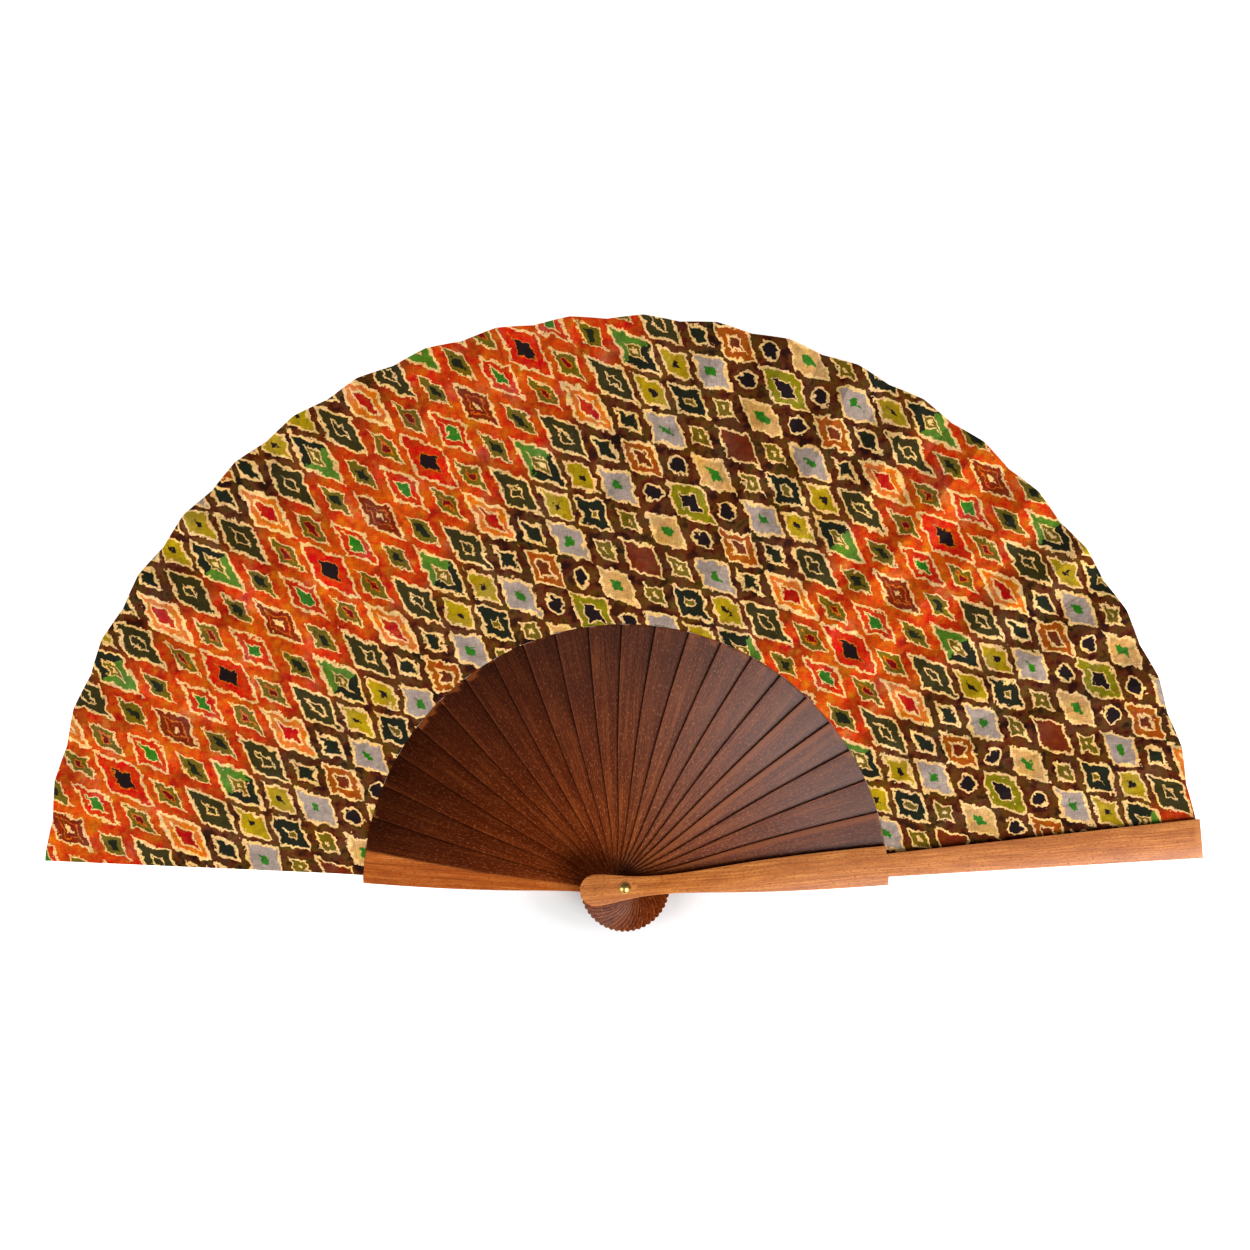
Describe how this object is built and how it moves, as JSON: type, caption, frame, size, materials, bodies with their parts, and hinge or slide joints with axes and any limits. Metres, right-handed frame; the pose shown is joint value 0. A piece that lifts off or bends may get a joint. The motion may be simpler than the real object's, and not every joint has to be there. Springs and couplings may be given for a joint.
{
  "type": "folding hand fan",
  "caption": "Folding hand fan: dark wooden sticks between two lighter wooden guards, turning on a brass rivet, with a pleated cloth leaf in a diamond pattern.",
  "frame": {"origin": "on the rivet's axis, in the plane of the rear guard's outer face, which the fan lies on", "axes": "+Z along the rivet towards its domed head, +Y from the rivet up the middle of the open leaf, +X towards the front guard"},
  "size_m": [0.4264, 0.2296, 0.0258],
  "materials": {
    "guard_wood": "satin varnish, orange-brown with fine straight grain",
    "stick_wood": "dark red-brown stain, satin, fine pale pores",
    "brass": "polished",
    "leaf_cloth": "thin plain-weave cotton, printed with rows of nested diamonds"
  },
  "bodies": {
    "rear_guard": {"rear_guard": "guard_wood", "rivet": "brass", "rear_washer": "brass", "leaf_panel_00": "leaf_cloth"},
    "stick_01": {"stick_01": "stick_wood", "leaf_panel_01": "leaf_cloth"},
    "stick_02": {"stick_02": "stick_wood", "leaf_panel_02": "leaf_cloth"},
    "stick_03": {"stick_03": "stick_wood", "leaf_panel_03": "leaf_cloth"},
    "stick_04": {"stick_04": "stick_wood", "leaf_panel_04": "leaf_cloth"},
    "stick_05": {"stick_05": "stick_wood", "leaf_panel_05": "leaf_cloth"},
    "stick_06": {"stick_06": "stick_wood", "leaf_panel_06": "leaf_cloth"},
    "stick_07": {"stick_07": "stick_wood", "leaf_panel_07": "leaf_cloth"},
    "stick_08": {"stick_08": "stick_wood", "leaf_panel_08": "leaf_cloth"},
    "stick_09": {"stick_09": "stick_wood", "leaf_panel_09": "leaf_cloth"},
    "stick_10": {"stick_10": "stick_wood", "leaf_panel_10": "leaf_cloth"},
    "stick_11": {"stick_11": "stick_wood", "leaf_panel_11": "leaf_cloth"},
    "stick_12": {"stick_12": "stick_wood", "leaf_panel_12": "leaf_cloth"},
    "stick_13": {"stick_13": "stick_wood", "leaf_panel_13": "leaf_cloth"},
    "stick_14": {"stick_14": "stick_wood", "leaf_panel_14": "leaf_cloth"},
    "stick_15": {"stick_15": "stick_wood", "leaf_panel_15": "leaf_cloth"},
    "stick_16": {"stick_16": "stick_wood", "leaf_panel_16": "leaf_cloth"},
    "stick_17": {"stick_17": "stick_wood", "leaf_panel_17": "leaf_cloth"},
    "stick_18": {"stick_18": "stick_wood", "leaf_panel_18": "leaf_cloth"},
    "stick_19": {"stick_19": "stick_wood", "leaf_panel_19": "leaf_cloth"},
    "stick_20": {"stick_20": "stick_wood", "leaf_panel_20": "leaf_cloth"},
    "stick_21": {"stick_21": "stick_wood", "leaf_panel_21": "leaf_cloth"},
    "stick_22": {"stick_22": "stick_wood", "leaf_panel_22": "leaf_cloth"},
    "front_guard": {"front_guard": "guard_wood", "leaf_panel_23": "leaf_cloth"}
  },
  "joints": [
    {"name": "fold", "type": "hinge", "parent": "rear_guard", "child": "stick_01", "pos_m": [0, 0, 0], "axis": [0, 0, 1], "range_deg": [0, 7.4]},
    {"name": "fold_02", "type": "hinge", "parent": "stick_01", "child": "stick_02", "pos_m": [0, 0, 0], "axis": [0, 0, 1], "range_deg": [0, 7.4]},
    {"name": "fold_03", "type": "hinge", "parent": "stick_02", "child": "stick_03", "pos_m": [0, 0, 0], "axis": [0, 0, 1], "range_deg": [0, 7.4]},
    {"name": "fold_04", "type": "hinge", "parent": "stick_03", "child": "stick_04", "pos_m": [0, 0, 0], "axis": [0, 0, 1], "range_deg": [0, 7.4]},
    {"name": "fold_05", "type": "hinge", "parent": "stick_04", "child": "stick_05", "pos_m": [0, 0, 0], "axis": [0, 0, 1], "range_deg": [0, 7.4]},
    {"name": "fold_06", "type": "hinge", "parent": "stick_05", "child": "stick_06", "pos_m": [0, 0, 0], "axis": [0, 0, 1], "range_deg": [0, 7.4]},
    {"name": "fold_07", "type": "hinge", "parent": "stick_06", "child": "stick_07", "pos_m": [0, 0, 0], "axis": [0, 0, 1], "range_deg": [0, 7.4]},
    {"name": "fold_08", "type": "hinge", "parent": "stick_07", "child": "stick_08", "pos_m": [0, 0, 0], "axis": [0, 0, 1], "range_deg": [0, 7.4]},
    {"name": "fold_09", "type": "hinge", "parent": "stick_08", "child": "stick_09", "pos_m": [0, 0, 0], "axis": [0, 0, 1], "range_deg": [0, 7.4]},
    {"name": "fold_10", "type": "hinge", "parent": "stick_09", "child": "stick_10", "pos_m": [0, 0, 0], "axis": [0, 0, 1], "range_deg": [0, 7.4]},
    {"name": "fold_11", "type": "hinge", "parent": "stick_10", "child": "stick_11", "pos_m": [0, 0, 0], "axis": [0, 0, 1], "range_deg": [0, 7.4]},
    {"name": "fold_12", "type": "hinge", "parent": "stick_11", "child": "stick_12", "pos_m": [0, 0, 0], "axis": [0, 0, 1], "range_deg": [0, 7.4]},
    {"name": "fold_13", "type": "hinge", "parent": "stick_12", "child": "stick_13", "pos_m": [0, 0, 0], "axis": [0, 0, 1], "range_deg": [0, 7.4]},
    {"name": "fold_14", "type": "hinge", "parent": "stick_13", "child": "stick_14", "pos_m": [0, 0, 0], "axis": [0, 0, 1], "range_deg": [0, 7.4]},
    {"name": "fold_15", "type": "hinge", "parent": "stick_14", "child": "stick_15", "pos_m": [0, 0, 0], "axis": [0, 0, 1], "range_deg": [0, 7.4]},
    {"name": "fold_16", "type": "hinge", "parent": "stick_15", "child": "stick_16", "pos_m": [0, 0, 0], "axis": [0, 0, 1], "range_deg": [0, 7.4]},
    {"name": "fold_17", "type": "hinge", "parent": "stick_16", "child": "stick_17", "pos_m": [0, 0, 0], "axis": [0, 0, 1], "range_deg": [0, 7.4]},
    {"name": "fold_18", "type": "hinge", "parent": "stick_17", "child": "stick_18", "pos_m": [0, 0, 0], "axis": [0, 0, 1], "range_deg": [0, 7.4]},
    {"name": "fold_19", "type": "hinge", "parent": "stick_18", "child": "stick_19", "pos_m": [0, 0, 0], "axis": [0, 0, 1], "range_deg": [0, 7.4]},
    {"name": "fold_20", "type": "hinge", "parent": "stick_19", "child": "stick_20", "pos_m": [0, 0, 0], "axis": [0, 0, 1], "range_deg": [0, 7.4]},
    {"name": "fold_21", "type": "hinge", "parent": "stick_20", "child": "stick_21", "pos_m": [0, 0, 0], "axis": [0, 0, 1], "range_deg": [0, 7.4]},
    {"name": "fold_22", "type": "hinge", "parent": "stick_21", "child": "stick_22", "pos_m": [0, 0, 0], "axis": [0, 0, 1], "range_deg": [0, 7.4]},
    {"name": "fold_23", "type": "hinge", "parent": "stick_22", "child": "front_guard", "pos_m": [0, 0, 0], "axis": [0, 0, 1], "range_deg": [0, 7.4]}
  ],
  "couplings": [
    {"joint": "fold_02", "follows": "fold", "ratio": 1},
    {"joint": "fold_03", "follows": "fold", "ratio": 1},
    {"joint": "fold_04", "follows": "fold", "ratio": 1},
    {"joint": "fold_05", "follows": "fold", "ratio": 1},
    {"joint": "fold_06", "follows": "fold", "ratio": 1},
    {"joint": "fold_07", "follows": "fold", "ratio": 1},
    {"joint": "fold_08", "follows": "fold", "ratio": 1},
    {"joint": "fold_09", "follows": "fold", "ratio": 1},
    {"joint": "fold_10", "follows": "fold", "ratio": 1},
    {"joint": "fold_11", "follows": "fold", "ratio": 1},
    {"joint": "fold_12", "follows": "fold", "ratio": 1},
    {"joint": "fold_13", "follows": "fold", "ratio": 1},
    {"joint": "fold_14", "follows": "fold", "ratio": 1},
    {"joint": "fold_15", "follows": "fold", "ratio": 1},
    {"joint": "fold_16", "follows": "fold", "ratio": 1},
    {"joint": "fold_17", "follows": "fold", "ratio": 1},
    {"joint": "fold_18", "follows": "fold", "ratio": 1},
    {"joint": "fold_19", "follows": "fold", "ratio": 1},
    {"joint": "fold_20", "follows": "fold", "ratio": 1},
    {"joint": "fold_21", "follows": "fold", "ratio": 1},
    {"joint": "fold_22", "follows": "fold", "ratio": 1},
    {"joint": "fold_23", "follows": "fold", "ratio": 1}
  ]
}
